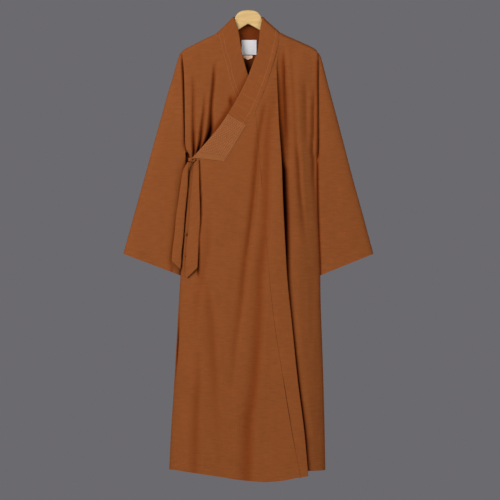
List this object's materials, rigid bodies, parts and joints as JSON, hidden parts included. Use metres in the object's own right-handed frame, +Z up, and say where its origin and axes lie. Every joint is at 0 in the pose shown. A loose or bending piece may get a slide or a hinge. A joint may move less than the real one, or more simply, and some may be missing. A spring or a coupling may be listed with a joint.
{
  "type": "buddhist monk robe on a wooden clothes hanger",
  "caption": "Long crossed-collar monk's robe with wide sleeves and tie straps, hanging closed on a wooden shoulder hanger.",
  "frame": {"origin": "top of the hanger's head, at the mouth of the hole where a hook's shank screws in", "axes": "+Z up, along the hook's shank; -Y the robe's front, where the collar crosses; +X the wearer's left"},
  "size_m": [0.7514, 0.0809, 1.4119],
  "materials": {
    "wood": "satin varnish over pale wood",
    "cloth": "matt plain weave with fine slubs, rust brown",
    "collar": "matt doubled plain weave, rust brown",
    "stitched_collar": "matt doubled weave raised in close rows of stitching",
    "label": "smooth pale woven label, bare",
    "tag": "matt cream woven tape, bare"
  },
  "bodies": {
    "root": {"hanger": "wood", "back_panel": "cloth", "left_front": "cloth", "overlap_panel": "cloth", "right_front": "cloth", "right_sleeve": "cloth", "left_sleeve": "cloth", "collar_left": "collar", "collar_stitched": "stitched_collar", "collar_back": "collar", "collar_right": "collar", "tie_knot": "cloth", "tie_short": "cloth", "tie_long": "cloth", "tie_button_upper": "cloth", "tie_button_lower": "cloth", "neck_label": "label", "size_tag": "tag"}
  },
  "joints": []
}
